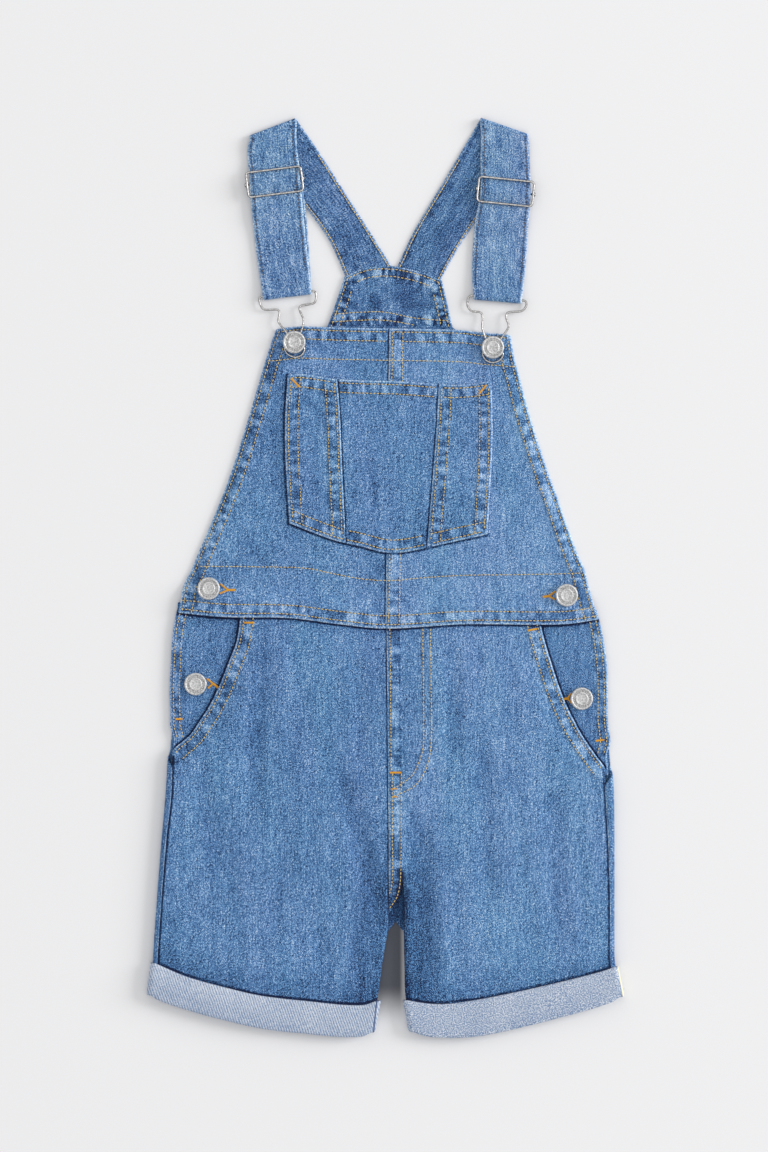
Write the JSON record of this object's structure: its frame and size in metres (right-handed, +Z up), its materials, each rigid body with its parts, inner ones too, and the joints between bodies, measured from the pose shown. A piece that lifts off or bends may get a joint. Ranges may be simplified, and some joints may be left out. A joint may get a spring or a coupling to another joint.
{
  "type": "shortalls",
  "caption": "Denim dungaree shorts laid flat: bib with a chest pocket, crossed straps with hooks and sliders, slanted pockets, side buttons and turned-up cuffs.",
  "frame": {"origin": "on the surface that the garment lies on, under the middle of its outline", "axes": "+X to the viewer's right, +Y towards the straps, +Z up off the surface, out of the front of the garment"},
  "size_m": [0.3576, 0.6895, 0.0079],
  "materials": {
    "denim": "matte",
    "denim_back": "matte",
    "denim_inside": "matte",
    "nickel": "brushed"
  },
  "bodies": {
    "root": {"back_bib": "denim_back", "back_leg_left": "denim_back", "back_leg_right": "denim_back", "back_yoke": "denim_back", "bib_button_left": "nickel", "bib_button_right": "nickel", "bib_left": "denim", "bib_pocket_centre": "denim", "bib_pocket_left": "denim", "bib_pocket_right": "denim", "bib_right": "denim", "cuff_left": "denim_inside", "cuff_right": "denim_inside", "front_leg_left": "denim", "front_leg_right": "denim", "hook_left": "nickel", "hook_right": "nickel", "side_button_left": "nickel", "side_button_right": "nickel", "side_panel_left": "denim_back", "side_panel_right": "denim_back", "slider_left": "nickel", "slider_right": "nickel", "strap_left": "denim", "strap_right": "denim", "waist_button_left": "nickel", "waist_button_right": "nickel"}
  },
  "joints": []
}
